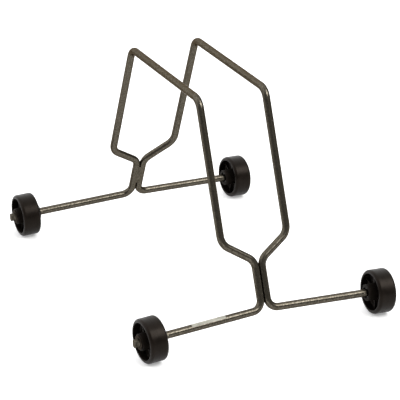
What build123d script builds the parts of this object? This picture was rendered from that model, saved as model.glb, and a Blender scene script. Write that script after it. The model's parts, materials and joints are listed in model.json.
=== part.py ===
from build123d import *
import math
import os

# A low stand on four small wheels that holds a bicycle upright by one of its own wheels.
# Two bent steel rods, mirror images of each other, are squeezed and welded together at the
# front and at the rear. Between them they leave a slot for the tyre.
# Millimetres and degrees. +X right, +Y rear, +Z up. The origin is on the floor, under the
# middle of the stand.

# Driving dimensions of the two frame rods
rod_diameter = 8.6
foot_spacing = 350.0        # between the front and rear axle runs, along Y
top_bar_length = 175.0      # between the upper corners of one side, along Y
frame_rise = 220.0          # from the axle runs up to the top bars, centre to centre
pinch_rise = 50.0           # how high the two rods stay side by side
vee_rise = 72.5             # where the rods have spread to the full slot
slot_spacing = 80.0         # between the left and right rods, centre to centre
pinch_spacing = 8.2         # under one rod diameter: the rods are squeezed together
axle_droop = 2.2            # each axle run falls a little towards its wheel
axle_toe = 1.8              # and splays a little outwards
foot_bend = 12.0            # centreline radii of the bends
crotch_bend = 15.0
shoulder_bend = 17.0
top_bend = 15.0

# Driving dimensions of the wheels and of what holds them on
wheel_diameter = 50.0
tread_width = 21.5
tread_shoulder = 3.3        # rounding between the tread and the side of the rim
rim_inner_radius = 20.9
rim_draft = 0.6             # the recess narrows by this much towards the web
rim_lip = 0.7               # rounding at the edge of the recess
web_thickness = 4.0
web_rounding = 1.0          # where the web meets the rim and the hub
hub_radius = 9.3
hub_draft = 0.4
hub_edge_rounding = 0.6
hub_mouth_rounding = 0.4
hub_outboard = 13.2         # from the middle of the tread to the hub's outer face
hub_inboard = 15.8          # and to its inner face
rib_count = 6
rib_thickness = 1.8
rib_setback = 5.5           # how far the ribs stay below the rim's side face
rib_root = 0.2              # how far the ribs run into the hub and the rim
bush_radius = 6.0
bush_recess = 1.5
running_clearance = 0.06
wheel_station = 135.7       # middle of the tread, along the axle run from its corner
washer_radius = 8.0
washer_thickness = 1.0
washer_play = 0.3
tip_length = 5.4            # the end of the rod, pressed flat so that the wheel stays on
tip_width = 9.4
tip_thickness = 6.4
tip_chamfer = 0.6
ear_length = 4.0            # small ears pressed out of the rod inboard of the hub
ear_width = 10.2
ear_thickness = 2.4
ear_rounding = 0.8
ear_play = 0.5

# Weld beads and the blank label
bead_length = 25.0
bead_station = 31.5         # middle of the bead, along the pinch from the axle run's corner
bead_half_width = 4.3
bead_half_height = 2.6
bead_offset = 2.35          # from the rods' common plane to the middle of the bead
bead_end_rounding = 1.2
label_length = 41.0
label_start = 45.7
label_thickness = 0.2
label_low_angle = 42.0      # measured round the rod, from straight ahead towards the top
label_high_angle = 150.0

# Derived sizes
rod_radius = rod_diameter / 2
wheel_radius = wheel_diameter / 2
tread_half = tread_width / 2
web_half = web_thickness / 2
foot_y = foot_spacing / 2
top_y = top_bar_length / 2
slot_x = slot_spacing / 2
pinch_x = pinch_spacing / 2
lean = math.degrees(math.atan2(foot_y - top_y, frame_rise))
droop = math.radians(axle_droop)
toe = math.radians(axle_toe)
washer_station = wheel_station + hub_outboard + washer_play
tip_station = washer_station + washer_thickness
ear_station = wheel_station - hub_inboard - ear_play - ear_length / 2
# A wheel's lowest point lies on the rounding of its tread, because its axle slopes.
axle_height = (
    tread_shoulder
    + (wheel_radius - tread_shoulder) * math.cos(droop)
    + (tread_half - tread_shoulder) * math.sin(droop)
)
corner_height = axle_height + wheel_station * math.sin(droop)

sides = {"left": -1, "right": 1}
ends = {"front": -1, "rear": 1}


def axle_direction(side, end):
    """Unit vector along an axle run, from the pinch out to the wheel."""
    level = math.cos(droop)
    return Vector(side * level * math.cos(toe), end * level * math.sin(toe), -math.sin(droop))


def leaning_point(x, end, rise):
    """Point on the leaning plane of the front or rear legs, a given rise above the axle runs."""
    y = foot_y - rise * math.tan(math.radians(lean))
    return Vector(x, end * y, corner_height + rise)


def axle_point(side, end, station):
    """Point on an axle run's centreline, a given distance from its corner."""
    return leaning_point(side * pinch_x, end, 0) + axle_direction(side, end) * station


def on_axle(side, end, station, shape):
    """Put a shape whose own axis is +Z on an axle run, with its +Z pointing outboard."""
    direction = axle_direction(side, end)
    plane = Plane(origin=axle_point(side, end, station), x_dir=(0, 1, 0), z_dir=direction)
    return plane.location * shape


def rod_corners():
    """Corners of the right-hand rod's centreline, from the front axle tip to the rear one."""
    front = [
        axle_point(1, -1, tip_station),
        leaning_point(pinch_x, -1, 0),
        leaning_point(pinch_x, -1, pinch_rise),
        leaning_point(slot_x, -1, vee_rise),
        leaning_point(slot_x, -1, frame_rise),
    ]
    rear = [Vector(p.X, -p.Y, p.Z) for p in reversed(front)]
    return front + rear


def pressed_tip():
    """The flattened end of a rod: wider than the wheel's bore, thinner than the rod."""
    blank = extrude(SlotOverall(tip_width, tip_thickness, rotation=90), tip_length)
    return chamfer(blank.faces().sort_by(Axis.Z)[-1].edges(), tip_chamfer)


def pressed_ears():
    """Two small ears pressed out of the rod, which stop the hub on the inboard side."""
    blank = Box(ear_width, ear_thickness, ear_length)
    return fillet(blank.edges().filter_by(Axis.Y), ear_rounding)


def right_rod():
    """The right-hand frame rod, with a flat on the middle plane where the two are squeezed."""
    bends = [foot_bend, crotch_bend, shoulder_bend, top_bend]
    path = FilletPolyline(*rod_corners(), radius=bends + bends[::-1])
    start = Plane(origin=path @ 0, z_dir=path % 0)
    rod = sweep(start * Circle(rod_radius), path=path)
    for end in ends.values():
        rod += on_axle(1, end, tip_station, pressed_tip())
        rod += on_axle(1, end, ear_station, pressed_ears())
    return split(rod, bisect_by=Plane.YZ, keep=Keep.TOP).solid()


def rear_weld_bead():
    """Weld that fills the groove between the two rods, on the inner side of the rear pinch."""
    bead = extrude(Ellipse(bead_half_width, bead_half_height), bead_length / 2, both=True)
    bead = Pos(0, bead_offset, 0) * fillet(bead.edges().filter_by(GeomType.ELLIPSE), bead_end_rounding)
    for side in sides.values():
        bead -= Pos(side * pinch_x, 0, 0) * Cylinder(rod_radius, 2 * bead_length)
    foot = leaning_point(0, 1, 0)
    up = (leaning_point(0, 1, pinch_rise) - foot).normalized()
    # With x_dir to the left, the plane's own y axis points inward, under the tyre.
    plane = Plane(origin=foot + up * bead_station, x_dir=(-1, 0, 0), z_dir=up)
    return (plane.location * bead).solid()


def wheel():
    """One moulded wheel about +Z: tread, recessed sides with ribs, and a long hub."""
    section = [
        (bush_radius, -hub_inboard, hub_mouth_rounding),
        (hub_radius, -hub_inboard, hub_edge_rounding),
        (hub_radius + hub_draft, -web_half, web_rounding),
        (rim_inner_radius - rim_draft, -web_half, web_rounding),
        (rim_inner_radius, -tread_half, rim_lip),
        (wheel_radius, -tread_half, tread_shoulder),
        (wheel_radius, tread_half, tread_shoulder),
        (rim_inner_radius, tread_half, rim_lip),
        (rim_inner_radius - rim_draft, web_half, web_rounding),
        (hub_radius + hub_draft, web_half, web_rounding),
        (hub_radius, hub_outboard, hub_edge_rounding),
        (bush_radius, hub_outboard, hub_mouth_rounding),
    ]
    corners = [(radius, height) for radius, height, _ in section]
    roundings = [rounding for _, _, rounding in section]
    outline = FilletPolyline(*corners, radius=roundings, close=True)
    body = revolve(Plane.XZ * make_face(outline), axis=Axis.Z)
    rib_inner = hub_radius - rib_root
    rib_outer = rim_inner_radius - rim_draft / 2 + rib_root
    rib = Box(
        rib_outer - rib_inner,
        rib_thickness,
        2 * (tread_half - rib_setback),
        align=(Align.MIN, Align.CENTER, Align.CENTER),
    )
    for index in range(rib_count):
        body += Rot(0, 0, index * 360 / rib_count) * Pos(rib_inner, 0, 0) * rib
    return body.solid()


def bush():
    """Sleeve bush pressed into the hub, a little below both of its faces."""
    length = hub_inboard + hub_outboard - 2 * bush_recess
    middle = (hub_outboard - hub_inboard) / 2
    bore = rod_radius + running_clearance
    sleeve = Cylinder(bush_radius, length) - Cylinder(bore, length)
    return (Pos(0, 0, middle) * sleeve).solid()


def washer():
    """Thin washer between the hub's outer face and the pressed end of the rod."""
    ring = Circle(washer_radius) - Circle(rod_radius)
    return extrude(ring, washer_thickness).solid()


def blank_label():
    """Blank strip stuck along the top of the front left axle run."""
    span = label_high_angle - label_low_angle
    ring = Circle(rod_radius + label_thickness) - Circle(rod_radius)
    reach = 2 * rod_diameter
    corners = [(0, 0)]
    for step in (0, 0.5, 1):
        angle = math.radians(label_low_angle + step * span)
        corners.append((reach * math.cos(angle), reach * math.sin(angle)))
    strip = ring & make_face(Polyline(*corners, close=True))
    side, end = sides["left"], ends["front"]
    plane = Plane(
        origin=axle_point(side, end, label_start),
        x_dir=(0, -1, 0),
        z_dir=axle_direction(side, end),
    )
    return (plane.location * extrude(strip, label_length)).solid()


def build():
    """Every piece of the stand, by node name."""
    rod = right_rod()
    pieces = {"left_frame_rod": mirror(rod, Plane.YZ), "right_frame_rod": rod}
    bead = rear_weld_bead()
    pieces["rear_weld_bead"] = bead
    pieces["front_weld_bead"] = mirror(bead, Plane.XZ)
    one_wheel, one_bush, one_washer = wheel(), bush(), washer()
    for end_name, end in ends.items():
        for side_name, side in sides.items():
            place = f"{end_name}_{side_name}"
            pieces[f"{place}_wheel"] = on_axle(side, end, wheel_station, one_wheel)
            pieces[f"{place}_bush"] = on_axle(side, end, wheel_station, one_bush)
            pieces[f"{place}_washer"] = on_axle(side, end, washer_station, one_washer)
    pieces["blank_label"] = blank_label()
    return pieces


os.makedirs("parts", exist_ok=True)
for name, piece in build().items():
    piece.label = name
    export_step(piece, f"parts/{name}.step")
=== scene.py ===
import json
import math

import bpy
import numpy as np
from mathutils import Matrix, Vector


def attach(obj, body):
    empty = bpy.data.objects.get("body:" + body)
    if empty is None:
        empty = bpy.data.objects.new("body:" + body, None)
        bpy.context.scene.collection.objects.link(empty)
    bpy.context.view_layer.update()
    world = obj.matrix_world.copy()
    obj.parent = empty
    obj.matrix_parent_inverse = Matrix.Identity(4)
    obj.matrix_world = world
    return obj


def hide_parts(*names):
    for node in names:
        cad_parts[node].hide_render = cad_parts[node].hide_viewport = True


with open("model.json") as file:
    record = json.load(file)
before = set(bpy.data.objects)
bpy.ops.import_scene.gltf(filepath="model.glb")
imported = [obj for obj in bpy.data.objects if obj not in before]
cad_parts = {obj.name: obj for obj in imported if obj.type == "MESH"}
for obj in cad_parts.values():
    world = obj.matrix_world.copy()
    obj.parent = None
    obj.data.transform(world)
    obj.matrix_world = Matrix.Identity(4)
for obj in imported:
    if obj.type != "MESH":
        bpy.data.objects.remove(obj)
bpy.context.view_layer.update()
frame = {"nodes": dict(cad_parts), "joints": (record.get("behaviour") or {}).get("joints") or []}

# A bicycle display stand on four small wheels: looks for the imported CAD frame, in metres.
# The steel rods, wheels, washers, weld beads and the blank label are finer meshes that stand
# for their CAD nodes. The bushes are the CAD nodes themselves with a better material.

MM = 0.001

# Frame rods
ROD_RADIUS = 4.3 * MM
PINCH_X = 4.1 * MM               # from the middle plane to a rod's centreline at the pinch
SLOT_X = 40.0 * MM
PINCH_RISE = 50.0 * MM
VEE_RISE = 72.5 * MM
FRAME_RISE = 220.0 * MM
FOOT_Y = 175.0 * MM
TOP_Y = 87.5 * MM
BEND_RADII = [12.0 * MM, 15.0 * MM, 17.0 * MM, 15.0 * MM]   # foot, crotch, shoulder, top
BEND_STEP = math.radians(3.0)
RUN_STEP = 8.0 * MM
FINE_STEP = 0.25 * MM            # along the rod, where it is pressed
ROD_SIDES = 64

# Pressed places on the rods, measured outboard from the middle of the tread
WASHER_INNER_FACE = 13.5 * MM
WASHER_THICKNESS = 1.0 * MM
WASHER_RADIUS = 8.0 * MM
TIP_START = WASHER_INNER_FACE + WASHER_THICKNESS
TIP_LENGTH = 5.4 * MM
TIP_HALF_HEIGHT = 4.7 * MM
TIP_HALF_WIDTH = 3.2 * MM
TIP_SPREAD = 0.9 * MM            # length over which the round rod turns into the pressed tip
TIP_ROUNDING = 0.6 * MM
TIP_DENT = 0.35 * MM
EAR_MIDDLE = -18.3 * MM
EAR_LENGTH = 4.0 * MM
EAR_HEIGHT = 0.8 * MM
EAR_HALF_ANGLE = math.radians(19)
EAR_FLANK = 0.8 * MM

# Wheels
WHEEL_RADIUS = 25.0 * MM
TREAD_HALF = 10.75 * MM
TREAD_SHOULDER = 3.3 * MM
TREAD_DISH = 0.07 * MM
PARTING_HALF_WIDTH = 0.25 * MM
RIM_INNER = 20.9 * MM
RIM_DRAFT = 0.6 * MM
RIM_LIP = 0.7 * MM
WEB_HALF = 2.0 * MM
WEB_ROUNDING = 1.0 * MM
HUB_RADIUS = 9.3 * MM
HUB_DRAFT = 0.4 * MM
HUB_EDGE = 0.6 * MM
HUB_MOUTH = 0.4 * MM
HUB_OUTBOARD = 13.2 * MM
HUB_INBOARD = 15.8 * MM
BORE_RADIUS = 6.0 * MM
RIB_COUNT = 6
RIB_SETBACK = 5.5 * MM
# A rib's cross-section: (millimetres from its middle, share of its full height)
RIB_OFFSETS = [
    (0.0, 1.0), (0.45, 1.0), (0.66, 0.985), (0.8, 0.9),
    (0.9, 0.5), (1.0, 0.1), (1.14, 0.015), (1.4, 0.0),
]
SECTOR_COLUMNS = 16              # mesh columns between two ribs
PARTING_ROWS = (-0.6, -0.25, 0.0, 0.25, 0.6)   # millimetres from the middle of the tread

# Weld beads
BEAD_STATION = 31.5 * MM
BEAD_LENGTH = 25.0 * MM
BEAD_HALF_WIDTH = 4.3 * MM
BEAD_HALF_HEIGHT = 2.6 * MM
BEAD_OFFSET = 2.35 * MM
RIPPLE_PITCH = 1.35 * MM
RIPPLE_HEIGHT = 0.16 * MM

# Blank label
LABEL_START = 45.7 * MM
LABEL_LENGTH = 41.0 * MM
LABEL_LOW = math.radians(42)
LABEL_HIGH = math.radians(150)
LABEL_THICKNESS = 0.18 * MM

# Camera, as the stand is usually seen: from the front left and a little above
CAMERA_AZIMUTH = math.radians(-25.913)
CAMERA_ELEVATION = math.radians(23.825)
CAMERA_ROLL = math.radians(0.454)
CAMERA_DISTANCE = 2.5473
CAMERA_AIM = Vector((0.0184, 0.0280, 0.0753))
CAMERA_LENS = 197.28

# Room brightness, from dim in front of the stand to bright above and behind it
ROOM_BRIGHT_SIDE = (-0.30, 0.75, 0.59)
ROOM_LIGHT = {"From Min": 0.05, "From Max": 0.8, "To Min": 0.42, "To Max": 2.2}
FLOOR_GLOW = 0.3
FLOOR_HALF = 6.0
OVERHEAD_PLACE = (1.27, -1.77, 2.48)
OVERHEAD_AIM = (0, 0, 0.1)
OVERHEAD_SIZE = (2.4, 1.7)
OVERHEAD_WATTS = 115

PLACES = [(end, side) for end in ("front", "rear") for side in ("left", "right")]
END_SIGN = {"front": -1, "rear": 1}
SIDE_SIGN = {"left": -1, "right": 1}
rng = np.random.default_rng(17)


# ---------------------------------------------------------------- places taken from the frame

def joint_of(end, side):
    """The spin joint of one wheel: its centre and its axis, which points outboard."""
    found = next(j for j in frame["joints"] if j["name"] == f"{end}_{side}_wheel_spin")
    return np.array(found["pos_m"]), np.array(found["axis"]) / np.linalg.norm(found["axis"])


def unit(vector):
    return np.asarray(vector, float) / np.linalg.norm(vector)


def smooth(low, high, value):
    """0 below low, 1 above high, and a smooth step between."""
    t = np.clip((value - low) / (high - low), 0.0, 1.0)
    return t * t * (3.0 - 2.0 * t)


# ---------------------------------------------------------------- mesh helpers

def add_piece(name, mesh, body, slot, material, *nodes):
    """Link a finished mesh as a piece that rides on a body and stands for CAD nodes."""
    piece = bpy.data.objects.new(name, mesh)
    bpy.context.scene.collection.objects.link(piece)
    mesh.materials.append(material)
    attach(piece, body)
    if nodes:
        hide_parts(*nodes)
    return piece


def grid_mesh(name, points, wrap_rows, fields=None, flip=False, sharp=40.0):
    """A closed skin over a grid of points (rows, columns, 3). Columns always wrap. Rows wrap, or
    end in flat caps. fields holds named values per point, one or three numbers each."""
    rows, columns = points.shape[:2]
    index = np.arange(rows * columns).reshape(rows, columns)
    last = rows if wrap_rows else rows - 1
    faces = []
    for i in range(last):
        lower, upper = index[i], index[(i + 1) % rows]
        for j in range(columns):
            k = (j + 1) % columns
            quad = (lower[j], lower[k], upper[k], upper[j])
            faces.append(quad[::-1] if flip else quad)
    if not wrap_rows:
        start, end = tuple(index[0][::-1]), tuple(index[-1])
        faces += [start[::-1], end[::-1]] if flip else [start, end]
    mesh = bpy.data.meshes.new(name)
    mesh.from_pydata(points.reshape(-1, 3).tolist(), [], [tuple(int(v) for v in f) for f in faces])
    for field, values in (fields or {}).items():
        kind, key = ("FLOAT_VECTOR", "vector") if values.ndim == 3 else ("FLOAT", "value")
        layer = mesh.attributes.new(field, kind, "POINT")
        layer.data.foreach_set(key, values.astype(np.float32).ravel())
    mesh.update()
    mesh.shade_smooth()
    mesh.set_sharp_from_angle(angle=math.radians(sharp))
    return mesh


def rounded_outline(corners, segments=6):
    """Closed 2-D outline from (x, y, rounding) corners, each corner as a tangent arc."""
    points = []
    count = len(corners)
    for i, (x, y, rounding) in enumerate(corners):
        here = np.array((x, y))
        before = unit(np.array(corners[i - 1][:2]) - here)
        after = unit(np.array(corners[(i + 1) % count][:2]) - here)
        half = math.acos(np.clip(before @ after, -1, 1)) / 2
        reach = rounding / math.tan(half)
        centre = here + unit(before + after) * rounding / math.sin(half)
        start, end = here + before * reach - centre, here + after * reach - centre
        turn = math.pi - 2 * half
        for step in range(segments + 1):
            t = step / segments
            arm = (math.sin((1 - t) * turn) * start + math.sin(t * turn) * end) / math.sin(turn)
            points.append(centre + arm)
    return np.array(points)


# ---------------------------------------------------------------- frame rods

def rod_corners():
    """Corners of the right rod's centreline, and its two end points."""
    corners = []
    for end in ("front", "rear"):
        centre, axis = joint_of(end, "right")
        station = (centre[0] - PINCH_X) / axis[0]
        foot = centre - axis * station
        tip = centre + axis * (TIP_START + TIP_LENGTH)
        sign = END_SIGN[end]
        lean = (FOOT_Y - TOP_Y) / FRAME_RISE
        run = [tip, foot]
        for x, rise in ((PINCH_X, PINCH_RISE), (SLOT_X, VEE_RISE), (SLOT_X, FRAME_RISE)):
            run.append(np.array((x, sign * (FOOT_Y - rise * lean), foot[2] + rise)))
        corners.append(run)
    return corners[0] + corners[1][::-1]


def rod_line():
    """Dense centreline: straight runs joined by tangent arcs, with fine steps near both ends."""
    corners = rod_corners()
    radii = BEND_RADII + BEND_RADII[::-1]
    line = [corners[0]]
    for before, here, after, radius in zip(corners, corners[1:], corners[2:], radii):
        back, ahead = unit(before - here), unit(after - here)
        half = math.acos(np.clip(back @ ahead, -1, 1)) / 2
        reach = radius / math.tan(half)
        centre = here + unit(back + ahead) * radius / math.sin(half)
        start, end = here + back * reach - centre, here + ahead * reach - centre
        turn = math.pi - 2 * half
        steps = max(4, round(turn / BEND_STEP))
        for step in range(steps + 1):
            t = step / steps
            arm = (math.sin((1 - t) * turn) * start + math.sin(t * turn) * end) / math.sin(turn)
            line.append(centre + arm)
    line.append(corners[-1])
    return np.array(line)


def resampled(line):
    """The centreline with extra points on long runs, and many near the two pressed ends."""
    fine_reach = TIP_START + TIP_LENGTH - EAR_MIDDLE + EAR_LENGTH
    lengths = np.concatenate([[0], np.cumsum(np.linalg.norm(np.diff(line, axis=0), axis=1))])
    total = lengths[-1]
    stops = [lengths]
    stops.append(np.arange(0, fine_reach, FINE_STEP))
    stops.append(total - np.arange(0, fine_reach, FINE_STEP))
    for low, high in zip(lengths[:-1], lengths[1:]):
        stops.append(np.linspace(low, high, max(2, int((high - low) / RUN_STEP) + 1)))
    stops = np.unique(np.round(np.concatenate(stops), 7))
    stops = stops[np.concatenate([[True], np.diff(stops) > 0.02 * MM])]
    points = np.stack([np.interp(stops, lengths, line[:, axis]) for axis in range(3)], axis=1)
    return points, stops, total


def carried_frames(points):
    """Tangent, up-side and side directions that turn as little as possible along the line."""
    tangents = np.gradient(points, axis=0)
    tangents /= np.linalg.norm(tangents, axis=1)[:, None]
    up = unit(np.array((0, 0, 1.0)) - tangents[0] * tangents[0][2])
    ups = [up]
    for i in range(1, len(points)):
        step = points[i] - points[i - 1]
        mirrored = ups[-1] - 2 * (ups[-1] @ step) / (step @ step) * step
        leaned = tangents[i - 1] - 2 * (tangents[i - 1] @ step) / (step @ step) * step
        rest = tangents[i] - leaned
        size = rest @ rest
        ups.append(mirrored if size < 1e-18 else mirrored - 2 * (mirrored @ rest) / size * rest)
    ups = np.array(ups)
    return tangents, ups, np.cross(tangents, ups)


def slot_radius(angle):
    """Distance from the middle to the edge of the pressed tip's rounded outline."""
    straight = TIP_HALF_HEIGHT - TIP_HALF_WIDTH
    up, across = np.abs(np.cos(angle)), np.abs(np.sin(angle))
    flat = TIP_HALF_WIDTH / np.maximum(across, 1e-6)
    inside = np.maximum(TIP_HALF_WIDTH ** 2 - (straight * across) ** 2, 0)
    cap = straight * up + np.sqrt(inside)
    return np.where(flat * up <= straight, flat, cap)


def rod_radius_at(outboard, angle):
    """Radius of a rod near its end. outboard is counted from the middle of the tread."""
    into_tip = smooth(TIP_START, TIP_START + TIP_SPREAD, outboard)
    radius = ROD_RADIUS + into_tip * (slot_radius(angle) - ROD_RADIUS)
    middle = TIP_START + 0.55 * TIP_LENGTH
    dent = np.exp(-((outboard - middle) / (0.28 * TIP_LENGTH)) ** 2) * np.sin(angle) ** 8
    radius -= TIP_DENT * dent
    left = np.clip((TIP_START + TIP_LENGTH - outboard) / TIP_ROUNDING, 0, 1)
    radius -= TIP_ROUNDING * (1 - np.sqrt(1 - (1 - left) ** 2)) * into_tip
    half = EAR_LENGTH / 2
    along = smooth(-half, -half + EAR_FLANK, outboard - EAR_MIDDLE)
    along *= 1 - smooth(half - EAR_FLANK, half, outboard - EAR_MIDDLE)
    from_ear = np.arccos(np.clip(np.abs(np.sin(angle)), 0, 1))
    around = 1 - smooth(0.55 * EAR_HALF_ANGLE, EAR_HALF_ANGLE, from_ear)
    return radius + EAR_HEIGHT * along * around


def frame_rod(side, material):
    """One bent rod with its pressed ends, as a single skin."""
    points, stops, total = resampled(rod_line())
    tangents, ups, sides = carried_frames(points)
    end_reach = TIP_START + TIP_LENGTH
    outboard = end_reach - np.minimum(stops, total - stops)
    angles = np.linspace(0, 2 * math.pi, ROD_SIDES, endpoint=False)
    radius = rod_radius_at(outboard[:, None], angles[None, :])
    across = ups[:, None, :] * np.cos(angles)[None, :, None]
    across = across + sides[:, None, :] * np.sin(angles)[None, :, None]
    skin = points[:, None, :] + across * radius[:, :, None]
    skin[:, :, 0] = np.maximum(skin[:, :, 0], 0.0)     # the flat where the two rods are squeezed
    along = np.stack(
        [
            radius * np.cos(angles)[None, :],
            radius * np.sin(angles)[None, :],
            np.broadcast_to(stops[:, None], radius.shape),
        ],
        axis=2,
    )
    pressed = smooth(TIP_START - 0.3 * MM, TIP_START + TIP_SPREAD, outboard)[:, None]
    pressed = np.broadcast_to(pressed, radius.shape).copy()
    pressed = np.maximum(pressed, np.clip((radius - ROD_RADIUS) / EAR_HEIGHT, 0, 1))
    fields = {"along": along, "pressed": pressed, "heat": weld_nearness_at(skin)}
    mirrored = side == "left"
    if mirrored:
        skin[:, :, 0] *= -1
    name = f"{side}_frame_rod"
    mesh = grid_mesh(name, skin, False, fields, flip=not mirrored)
    return add_piece(f"{name}_mesh", mesh, "frame", "frame_steel", material, name)


# ---------------------------------------------------------------- weld beads

def pinch_axes(end):
    """Foot of the pinch on the middle plane, and its up and inward directions."""
    centre, axis = joint_of(end, "right")
    foot = centre - axis * (centre[0] - PINCH_X) / axis[0]
    foot[0] = 0.0
    sign = END_SIGN[end]
    up = unit((0, -sign * (FOOT_Y - TOP_Y), FRAME_RISE))
    inward = unit((0, -sign * FRAME_RISE, -(FOOT_Y - TOP_Y)))
    return foot, up, inward


def weld_nearness_at(points):
    """How near each point is to a weld bead: 1 on it, 0 far away."""
    heat = np.zeros(points.shape[:-1])
    for end in END_SIGN:
        foot, up, inward = pinch_axes(end)
        from_bead = points - (foot + up * BEAD_STATION + inward * BEAD_OFFSET)
        along = np.abs(from_bead @ up)
        beyond = np.maximum(along - BEAD_LENGTH / 2, 0)
        away = np.linalg.norm(from_bead - (from_bead @ up)[..., None] * up, axis=-1)
        distance = np.sqrt(beyond ** 2 + away ** 2)
        heat = np.maximum(heat, 1 - smooth(3 * MM, 11 * MM, distance))
    return heat


def weld_bead(end, material):
    """A rippled bead that fills the groove between the rods."""
    foot, up, inward = pinch_axes(end)
    stations = np.linspace(-BEAD_LENGTH / 2, BEAD_LENGTH / 2, 121)
    angles = np.linspace(0, 2 * math.pi, 48, endpoint=False)
    reach = np.clip(np.abs(stations) / (BEAD_LENGTH / 2), 0, 1)
    taper = np.maximum(np.sqrt(1 - reach ** 6), 0.12)
    x = np.cos(angles)[None, :] * np.ones_like(stations)[:, None]
    phase = stations[:, None] / RIPPLE_PITCH + 0.55 * x ** 2
    wander = 0.25 * np.sin(stations / (5.3 * MM)) + 0.15 * np.sin(stations / (1.9 * MM) + 1.0)
    ripple = np.abs(((phase + wander[:, None]) % 1.0) - 0.35)
    height = BEAD_HALF_HEIGHT * np.sin(angles)[None, :] * taper[:, None]
    height = height - RIPPLE_HEIGHT * ripple * np.maximum(np.sin(angles), 0)[None, :]
    width = BEAD_HALF_WIDTH * (0.97 + 0.03 * np.sin(stations / (2.7 * MM)))
    sideways = x * (width * (0.5 + 0.5 * taper))[:, None]
    origin = foot + up * BEAD_STATION + inward * BEAD_OFFSET
    skin = origin + stations[:, None, None] * up + height[..., None] * inward
    skin = skin + sideways[..., None] * np.array((1.0, 0, 0))
    name = f"{end}_weld_bead"
    mesh = grid_mesh(name, skin, False, {"heat": weld_nearness_at(skin)}, flip=(end == "front"))
    return add_piece(f"{name}_mesh", mesh, "frame", "weld", material, name)


# ---------------------------------------------------------------- wheels and washers

def wheel_section():
    """Closed outline of the wheel's section as (radius, outboard), starting at the inboard bore."""
    corners = [
        (BORE_RADIUS, -HUB_INBOARD, HUB_MOUTH),
        (HUB_RADIUS, -HUB_INBOARD, HUB_EDGE),
        (HUB_RADIUS + HUB_DRAFT, -WEB_HALF, WEB_ROUNDING),
        (RIM_INNER - RIM_DRAFT, -WEB_HALF, WEB_ROUNDING),
        (RIM_INNER, -TREAD_HALF, RIM_LIP),
        (WHEEL_RADIUS, -TREAD_HALF, TREAD_SHOULDER),
        (WHEEL_RADIUS, TREAD_HALF, TREAD_SHOULDER),
        (RIM_INNER, TREAD_HALF, RIM_LIP),
        (RIM_INNER - RIM_DRAFT, WEB_HALF, WEB_ROUNDING),
        (HUB_RADIUS + HUB_DRAFT, WEB_HALF, WEB_ROUNDING),
        (HUB_RADIUS, HUB_OUTBOARD, HUB_EDGE),
        (BORE_RADIUS, HUB_OUTBOARD, HUB_MOUTH),
    ]
    outline = rounded_outline(corners, segments=8)
    return divided(outline)


def divided(outline):
    """The outline with long edges split, so that walls and tread have their own points."""
    points = []
    for here, after in zip(outline, np.roll(outline, -1, axis=0)):
        length = np.linalg.norm(after - here)
        pieces = max(1, int(length / (1.2 * MM)))
        for step in range(pieces):
            points.append(here + (after - here) * step / pieces)
    points = np.array(points)
    tread = points[:, 0] > WHEEL_RADIUS - 1e-9
    ridge = np.array([(WHEEL_RADIUS, z * MM) for z in PARTING_ROWS])
    before = points[tread & (points[:, 1] < ridge[0, 1])]
    after = points[tread & (points[:, 1] > ridge[-1, 1])]
    first = int(np.argmax(tread))
    last = first + int(tread.sum())
    return np.concatenate([points[:first], before, ridge, after, points[last:]])


def rib_section(section):
    """The same outline where a rib fills the two recesses up to its top."""
    raised = section.copy()
    top = TREAD_HALF - RIB_SETBACK
    for sign in (-1, 1):
        depth = section[:, 1] * sign
        low = (depth < top) & (depth > WEB_HALF - 1e-9)
        low &= (section[:, 0] > HUB_RADIUS - 1e-9) & (section[:, 0] < RIM_INNER + 1e-9)
        rows = np.flatnonzero(low)
        steps = np.linalg.norm(np.diff(section[rows], axis=0), axis=1)
        share = np.concatenate([[0], np.cumsum(steps)]) / steps.sum()
        start, end = section[rows[0], 0], section[rows[-1], 0]
        raised[rows, 0] = start + (end - start) * share
        raised[rows, 1] = sign * top
    return raised


def wheel_columns():
    """Mesh columns round the wheel: (rib or sector number, offset or share, rib height)."""
    columns = []
    offsets = [(-o * MM, f) for o, f in RIB_OFFSETS[:0:-1]] + [(o * MM, f) for o, f in RIB_OFFSETS]
    for rib in range(RIB_COUNT):
        columns += [(rib, offset, 0.0, height) for offset, height in offsets]
        shares = np.linspace(0, 1, SECTOR_COLUMNS + 2)[1:-1]
        columns += [(rib, RIB_OFFSETS[-1][0] * MM, share, 0.0) for share in shares]
    return columns


def wheel_skin():
    """Points of one wheel about +Z: rows go round the wheel, columns along its section."""
    section = wheel_section()
    ribbed = rib_section(section)
    sector = 2 * math.pi / RIB_COUNT
    rows = []
    for rib, offset, share, height in wheel_columns():
        outline = section + (ribbed - section) * height
        held = np.clip(outline[:, 0], HUB_RADIUS, RIM_INNER)
        lean = np.arcsin(offset / held)
        angle = rib * sector + lean + share * (sector - 2 * lean)
        radius, outboard = outline[:, 0].copy(), outline[:, 1]
        tread = radius > WHEEL_RADIUS - 1e-9
        inward = np.maximum(1 - np.abs(outboard) / (TREAD_HALF - TREAD_SHOULDER), 0)
        dish = TREAD_DISH * np.sqrt(inward)
        ridge = np.exp(-(outboard / PARTING_HALF_WIDTH) ** 2)
        radius[tread] -= (dish * (1 - ridge))[tread]
        rows.append(np.stack([radius * np.cos(angle), radius * np.sin(angle), outboard], axis=1))
    return np.array(rows)


def on_axle(end, side, skin, outboard=0.0):
    """Turn points made about +Z onto an axle, at a distance outboard of the tread's middle."""
    centre, axis = joint_of(end, side)
    forward = unit(np.array((0, 1.0, 0)) - axis * axis[1])
    upward = np.cross(axis, forward)
    turned = skin[..., 0:1] * forward + skin[..., 1:2] * upward + skin[..., 2:3] * axis
    return turned + centre + axis * outboard


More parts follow.
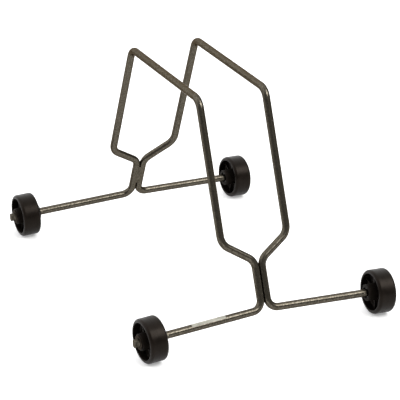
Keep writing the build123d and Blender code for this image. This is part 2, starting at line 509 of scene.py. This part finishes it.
def wheel(end, side, skin, material):
    """One moulded wheel, turned to its own angle so that the four don't look alike."""
    start = rng.uniform(0, 2 * math.pi)
    spin = np.array(
        [
            [math.cos(start), -math.sin(start), 0],
            [math.sin(start), math.cos(start), 0],
            [0, 0, 1],
        ]
    )
    turned = skin @ spin.T
    name = f"{end}_{side}_wheel"
    radius = np.hypot(skin[..., 0], skin[..., 1])
    hub = 1 - smooth(HUB_RADIUS, HUB_RADIUS + HUB_DRAFT + WEB_ROUNDING, radius)
    fields = {"own": skin + rng.uniform(1, 9), "hub": hub}
    mesh = grid_mesh(name, on_axle(end, side, turned), True, fields, sharp=60)
    return add_piece(f"{name}_mesh", mesh, f"{end}_{side}_roller", "wheel_plastic", material, name)


def washer(end, side, material):
    """A thin washer with rounded edges, pushed against the pressed tip."""
    inner = ROD_RADIUS + 0.05 * MM
    corners = [
        (inner, 0.0, 0.12 * MM),
        (WASHER_RADIUS, 0.0, 0.3 * MM),
        (WASHER_RADIUS, WASHER_THICKNESS, 0.3 * MM),
        (inner, WASHER_THICKNESS, 0.2 * MM),
    ]
    outline = rounded_outline(corners, segments=5)
    angles = np.linspace(0, 2 * math.pi, 72, endpoint=False)
    skin = np.stack(
        [
            outline[None, :, 0] * np.cos(angles)[:, None],
            outline[None, :, 0] * np.sin(angles)[:, None],
            np.broadcast_to(outline[None, :, 1], (len(angles), len(outline))),
        ],
        axis=2,
    )
    name = f"{end}_{side}_washer"
    placed = on_axle(end, side, skin, WASHER_INNER_FACE)
    mesh = grid_mesh(name, placed, True, {"own": skin}, sharp=60)
    return add_piece(f"{name}_mesh", mesh, "frame", "washer_steel", material, name)


# ---------------------------------------------------------------- label

def label(material):
    """Blank film wrapped over the top of the front left axle run."""
    centre, axis = joint_of("front", "left")
    foot = centre - axis * (abs(centre[0]) - PINCH_X) / abs(axis[0])
    ahead = unit(np.array((0, -1.0, 0)) + axis * axis[1])
    upward = unit(np.array((0, 0, 1.0)) - axis * axis[2])
    stations = np.linspace(0, LABEL_LENGTH, 60)
    outer_angles = np.linspace(LABEL_LOW, LABEL_HIGH, 24)
    angles = np.concatenate([outer_angles, outer_angles[::-1]])
    edge = np.minimum(outer_angles - LABEL_LOW, LABEL_HIGH - outer_angles)
    waves = 0.02 * MM * np.sin(stations[:, None] / (2.1 * MM) + 3.0 * outer_angles[None, :])
    along = 0.5 + 0.5 * np.sin(stations / (6 * MM))
    lift = 0.05 * MM * (1 - smooth(0, 0.3, edge))[None, :] * along[:, None]
    outer = ROD_RADIUS + LABEL_THICKNESS + waves + lift
    inner = outer - 0.8 * LABEL_THICKNESS
    radius = np.concatenate([outer, inner[:, ::-1]], axis=1)
    around = ahead * np.cos(angles)[:, None] + upward * np.sin(angles)[:, None]
    skin = foot + (LABEL_START + stations)[:, None, None] * axis + radius[..., None] * around
    own = np.stack(
        [
            np.broadcast_to(stations[:, None], radius.shape),
            np.broadcast_to(angles * ROD_RADIUS, radius.shape),
            radius,
        ],
        axis=2,
    )
    mesh = grid_mesh("blank_label", skin, False, {"own": own}, flip=True, sharp=50)
    return add_piece("blank_label_mesh", mesh, "frame", "label", material, "blank_label")


# ---------------------------------------------------------------- materials

class Shading:
    """Short calls for the nodes of one material."""

    def __init__(self, name):
        self.material = bpy.data.materials.new(name)
        self.material.use_nodes = True
        self.tree = self.material.node_tree
        self.bsdf = self.tree.nodes["Principled BSDF"]

    def node(self, kind, **settings):
        made = self.tree.nodes.new(kind)
        for key, value in settings.items():
            setattr(made, key, value)
        return made

    def link(self, source, target):
        self.tree.links.new(source, target)

    def set(self, **values):
        for key, value in values.items():
            self.bsdf.inputs[key.replace("_", " ")].default_value = value

    def place(self, field=None, scale=(1, 1, 1)):
        """Texture coordinates from a mesh field, or the object's own, stretched by scale."""
        if field:
            source = self.node("ShaderNodeAttribute", attribute_name=field).outputs["Vector"]
        else:
            source = self.node("ShaderNodeTexCoord").outputs["Object"]
        mapping = self.node("ShaderNodeMapping")
        mapping.inputs["Scale"].default_value = scale
        self.link(source, mapping.inputs["Vector"])
        return mapping.outputs["Vector"]

    def field(self, name):
        return self.node("ShaderNodeAttribute", attribute_name=name).outputs["Fac"]

    def noise(self, place, scale, detail=4.0, roughness=0.55, distortion=0.0):
        made = self.node("ShaderNodeTexNoise")
        made.inputs["Scale"].default_value = scale
        made.inputs["Detail"].default_value = detail
        made.inputs["Roughness"].default_value = roughness
        made.inputs["Distortion"].default_value = distortion
        self.link(place, made.inputs["Vector"])
        return made.outputs["Fac"]

    def spread(self, value, low, high, new_low=0.0, new_high=1.0):
        """Map low..high to new_low..new_high, smoothly and held at both ends."""
        made = self.node("ShaderNodeMapRange", interpolation_type="SMOOTHSTEP")
        self.link(value, made.inputs["Value"])
        made.inputs["From Min"].default_value = low
        made.inputs["From Max"].default_value = high
        made.inputs["To Min"].default_value = new_low
        made.inputs["To Max"].default_value = new_high
        return made.outputs["Result"]

    def math(self, operation, first, second):
        made = self.node("ShaderNodeMath", operation=operation)
        for socket, value in zip(made.inputs, (first, second)):
            if isinstance(value, (int, float)):
                socket.default_value = value
            else:
                self.link(value, socket)
        return made.outputs["Value"]

    def mix(self, factor, first, second, blend="MIX"):
        """Colour between two colours. Each is a tuple or another node's output."""
        made = self.node("ShaderNodeMix", data_type="RGBA", blend_type=blend)
        sockets = [s for s in made.inputs if s.type == "RGBA"]
        factor_socket = made.inputs[0]
        if isinstance(factor, (int, float)):
            factor_socket.default_value = factor
        else:
            self.link(factor, factor_socket)
        for socket, value in zip(sockets, (first, second)):
            if isinstance(value, tuple):
                socket.default_value = (*value, 1.0)
            else:
                self.link(value, socket)
        return next(s for s in made.outputs if s.type == "RGBA")

    def bump(self, *layers):
        """Bump from (height, strength, distance) layers, each over the one before."""
        normal = None
        for height, strength, distance in layers:
            made = self.node("ShaderNodeBump")
            made.inputs["Strength"].default_value = strength
            made.inputs["Distance"].default_value = distance
            self.link(height, made.inputs["Height"])
            if normal is not None:
                self.link(normal, made.inputs["Normal"])
            normal = made.outputs["Normal"]
        self.link(normal, self.bsdf.inputs["Normal"])

    def finish(self, colour, roughness):
        self.link(colour, self.bsdf.inputs["Base Color"])
        self.link(roughness, self.bsdf.inputs["Roughness"])
        return self.material


def steel_material():
    """Dark satin steel rod: drawn lines along it, mottled tarnish, bare metal where pressed."""
    s = Shading("dark_satin_steel")
    drawn = s.noise(s.place("along", (1, 1, 0.02)), 2600, detail=3)
    mottle = s.noise(s.place("along", (1, 1, 0.7)), 760, detail=4, roughness=0.62, distortion=0.3)
    patches = s.noise(s.place("along", (1, 1, 0.35)), 38, detail=3)
    grain = s.noise(s.place("along"), 1700, detail=2)
    colour = s.mix(s.spread(mottle, 0.36, 0.66), (0.040, 0.0350, 0.0265), (0.094, 0.0835, 0.0650))
    colour = s.mix(s.spread(patches, 0.42, 0.62, 0, 0.3), colour, (0.064, 0.0550, 0.0410))
    colour = s.mix(s.spread(drawn, 0.54, 0.74, 0, 0.3), colour, (0.125, 0.115, 0.102))
    # Darker, browner steel towards the weld beads, strongest in the groove where the two rods meet.
    colour = s.mix(s.spread(s.field("heat"), 0.1, 1.0, 0, 0.3), colour, (0.050, 0.040, 0.034))
    colour = s.mix(s.math("MULTIPLY", s.field("pressed"), 0.7), colour, (0.082, 0.0730, 0.0580))
    satin = s.spread(mottle, 0.3, 0.7, 0.31, 0.20)
    roughness = s.math("ADD", satin, s.math("MULTIPLY", s.field("pressed"), 0.26))
    s.set(Metallic=1.0, Specular_Tint=(0.45, 0.42, 0.40, 1.0))
    s.bump((drawn, 0.12, 0.05 * MM), (grain, 0.18, 0.05 * MM), (mottle, 0.25, 0.12 * MM))
    return s.finish(colour, roughness)


def weld_material():
    """Weld metal: a little rougher than the rod, in the same brownish greys."""
    s = Shading("weld_metal")
    fine = s.noise(s.place(), 2200, detail=4)
    broad = s.noise(s.place(), 320, detail=3)
    colour = s.mix(s.spread(broad, 0.35, 0.65), (0.052, 0.0455, 0.0345), (0.092, 0.0815, 0.0630))
    colour = s.mix(s.spread(fine, 0.5, 0.7, 0, 0.4), colour, (0.042, 0.0370, 0.0300))
    roughness = s.spread(fine, 0.3, 0.7, 0.36, 0.55)
    s.set(Metallic=1.0, Specular_Tint=(0.45, 0.42, 0.40, 1.0))
    s.bump((fine, 0.3, 0.08 * MM), (broad, 0.3, 0.2 * MM))
    return s.finish(colour, roughness)


def wheel_material():
    """Satin black moulded plastic, a little dusty and scuffed round the tread."""
    s = Shading("moulded_black_plastic")
    grain = s.noise(s.place("own"), 1900, detail=3, roughness=0.6)
    cloud = s.noise(s.place("own"), 95, detail=4, roughness=0.6)
    scuff = s.noise(s.place("own", (1, 1, 0.12)), 620, detail=4, roughness=0.7, distortion=0.6)
    colour = s.mix(s.spread(cloud, 0.35, 0.68), (0.0024, 0.0017, 0.0012), (0.0044, 0.0031, 0.0023))
    colour = s.mix(s.spread(scuff, 0.60, 0.80, 0, 0.4), colour, (0.0100, 0.0074, 0.0058))
    satin = s.spread(cloud, 0.3, 0.7, 0.32, 0.42)
    roughness = s.math("ADD", satin, s.math("MULTIPLY", s.field("hub"), 0.3))
    s.set(Specular_IOR_Level=0.10, Specular_Tint=(1.0, 0.84, 0.72, 1.0))
    s.bump((grain, 0.25, 0.05 * MM), (scuff, 0.15, 0.08 * MM))
    return s.finish(colour, roughness)


def bush_material():
    """Smooth black sleeve, cloudy in tone, a little rougher in places, with a fine tooth."""
    s = Shading("black_bush_plastic")
    fine = s.noise(s.place(), 1600, detail=3)
    cloud = s.noise(s.place(), 240, detail=3)
    colour = s.mix(s.spread(cloud, 0.35, 0.65), (0.0036, 0.0026, 0.0020), (0.0062, 0.0045, 0.0036))
    roughness = s.spread(fine, 0.3, 0.7, 0.30, 0.45)
    s.set(Specular_IOR_Level=0.2, Specular_Tint=(1.0, 0.84, 0.72, 1.0))
    s.bump((fine, 0.15, 0.03 * MM))
    return s.finish(colour, roughness)


def washer_material():
    """Dull plated steel with a fine tooth and brownish stains."""
    s = Shading("dull_plated_washer")
    fine = s.noise(s.place("own"), 1800, detail=3)
    stain = s.noise(s.place("own"), 330, detail=4, roughness=0.65)
    colour = s.mix(s.spread(stain, 0.35, 0.68), (0.024, 0.018, 0.014), (0.046, 0.037, 0.029))
    colour = s.mix(s.spread(fine, 0.55, 0.72, 0, 0.4), colour, (0.018, 0.014, 0.011))
    roughness = s.spread(stain, 0.3, 0.7, 0.62, 0.46)
    s.set(Metallic=1.0, Specular_Tint=(0.5, 0.5, 0.5, 1.0))
    s.bump((fine, 0.2, 0.04 * MM), (stain, 0.2, 0.08 * MM))
    return s.finish(colour, roughness)


def label_material():
    """Off-white film, a little yellowed and handled, with nothing printed on it."""
    s = Shading("off_white_film")
    fibre = s.noise(s.place("own"), 2400, detail=3)
    cloud = s.noise(s.place("own", (0.5, 1, 1)), 210, detail=4, roughness=0.6)
    colour = s.mix(s.spread(cloud, 0.38, 0.66), (0.27, 0.262, 0.22), (0.19, 0.184, 0.15))
    colour = s.mix(s.spread(fibre, 0.60, 0.75, 0, 0.3), colour, (0.16, 0.154, 0.126))
    roughness = s.spread(cloud, 0.3, 0.7, 0.40, 0.58)
    s.set(IOR=1.45)
    s.bump((fibre, 0.12, 0.02 * MM))
    return s.finish(colour, roughness)


def floor_material():
    """Plain white acrylic with the faintest tooth, lit a little from below."""
    s = Shading("white_acrylic_table")
    tooth = s.noise(s.place(), 240, detail=3)
    colour = s.mix(s.spread(tooth, 0.3, 0.7), (0.73, 0.73, 0.73), (0.76, 0.76, 0.76))
    roughness = s.spread(tooth, 0.3, 0.7, 0.85, 0.95)
    s.set(Specular_IOR_Level=0.1, Emission_Color=(1.0, 1.0, 1.0, 1.0), Emission_Strength=FLOOR_GLOW)
    return s.finish(colour, roughness)


# ---------------------------------------------------------------- stage, light and camera

def add_floor():
    half = FLOOR_HALF
    mesh = bpy.data.meshes.new("floor")
    corners = [(-half, -half, 0), (half, -half, 0), (half, half, 0), (-half, half, 0)]
    mesh.from_pydata(corners, [], [(0, 1, 2, 3)])
    floor = bpy.data.objects.new("floor", mesh)
    bpy.context.scene.collection.objects.link(floor)
    mesh.materials.append(floor_material())


def add_softbox(name, place, aim, size, power):
    light = bpy.data.lights.new(name, "AREA")
    light.shape = "RECTANGLE"
    light.size, light.size_y = size
    light.energy = power
    lamp = bpy.data.objects.new(name, light)
    bpy.context.scene.collection.objects.link(lamp)
    lamp.location = place
    lamp.rotation_euler = (Vector(aim) - Vector(place)).to_track_quat("-Z", "Y").to_euler()


def add_world():
    """A room for reflections and light, dim in front and bright behind the stand. The camera
    itself sees plain white."""
    world = bpy.data.worlds.new("studio")
    world.use_nodes = True
    tree = world.node_tree
    tree.nodes.clear()
    place = tree.nodes.new("ShaderNodeTexCoord")
    facing = tree.nodes.new("ShaderNodeVectorMath")
    facing.operation = "DOT_PRODUCT"
    facing.inputs[1].default_value = ROOM_BRIGHT_SIDE
    brightness = tree.nodes.new("ShaderNodeMapRange")
    brightness.interpolation_type = "SMOOTHSTEP"
    for key, value in ROOM_LIGHT.items():
        brightness.inputs[key].default_value = value
    room = tree.nodes.new("ShaderNodeBackground")
    room.inputs["Color"].default_value = (1.0, 1.0, 1.0, 1)
    tree.links.new(place.outputs["Generated"], facing.inputs[0])
    tree.links.new(facing.outputs["Value"], brightness.inputs["Value"])
    tree.links.new(brightness.outputs["Result"], room.inputs["Strength"])
    backdrop = tree.nodes.new("ShaderNodeBackground")
    backdrop.inputs["Strength"].default_value = 1.0
    backdrop.inputs["Color"].default_value = (1, 1, 1, 1)
    path = tree.nodes.new("ShaderNodeLightPath")
    choice = tree.nodes.new("ShaderNodeMixShader")
    output = tree.nodes.new("ShaderNodeOutputWorld")
    tree.links.new(path.outputs["Is Camera Ray"], choice.inputs[0])
    tree.links.new(room.outputs[0], choice.inputs[1])
    tree.links.new(backdrop.outputs[0], choice.inputs[2])
    tree.links.new(choice.outputs[0], output.inputs["Surface"])
    bpy.context.scene.world = world


def add_camera():
    data = bpy.data.cameras.new("camera")
    data.sensor_width = 36.0
    data.lens = CAMERA_LENS
    data.clip_start, data.clip_end = 0.05, 50.0
    camera = bpy.data.objects.new("camera", data)
    bpy.context.scene.collection.objects.link(camera)
    level = math.cos(CAMERA_ELEVATION)
    back = Vector(
        (math.sin(CAMERA_AZIMUTH) * level, -math.cos(CAMERA_AZIMUTH) * level, math.sin(CAMERA_ELEVATION))
    )
    right = (-back).cross(Vector((0, 0, 1))).normalized()
    up = right.cross(-back)
    turn = Matrix.Rotation(CAMERA_ROLL, 3, back)
    right, up = turn @ right, turn @ up
    axes = Matrix((right, up, back)).transposed()
    camera.matrix_world = Matrix.Translation(CAMERA_AIM + back * CAMERA_DISTANCE) @ axes.to_4x4()
    bpy.context.scene.camera = camera


# ---------------------------------------------------------------- the stand

def build_stand():
    steel = steel_material()
    weld = weld_material()
    plastic = wheel_material()
    bush = bush_material()
    plated = washer_material()
    for side in SIDE_SIGN:
        frame_rod(side, steel)
    for end in END_SIGN:
        weld_bead(end, weld)
    skin = wheel_skin()
    for end, side in PLACES:
        wheel(end, side, skin, plastic)
        washer(end, side, plated)
        sleeve = frame["nodes"][f"{end}_{side}_bush"]
        sleeve.data.materials.clear()
        sleeve.data.materials.append(bush)
    label(label_material())


build_stand()
add_floor()
add_world()
add_softbox("overhead", OVERHEAD_PLACE, OVERHEAD_AIM, OVERHEAD_SIZE, OVERHEAD_WATTS)
bpy.context.scene.view_settings.view_transform = "Standard"
add_camera()
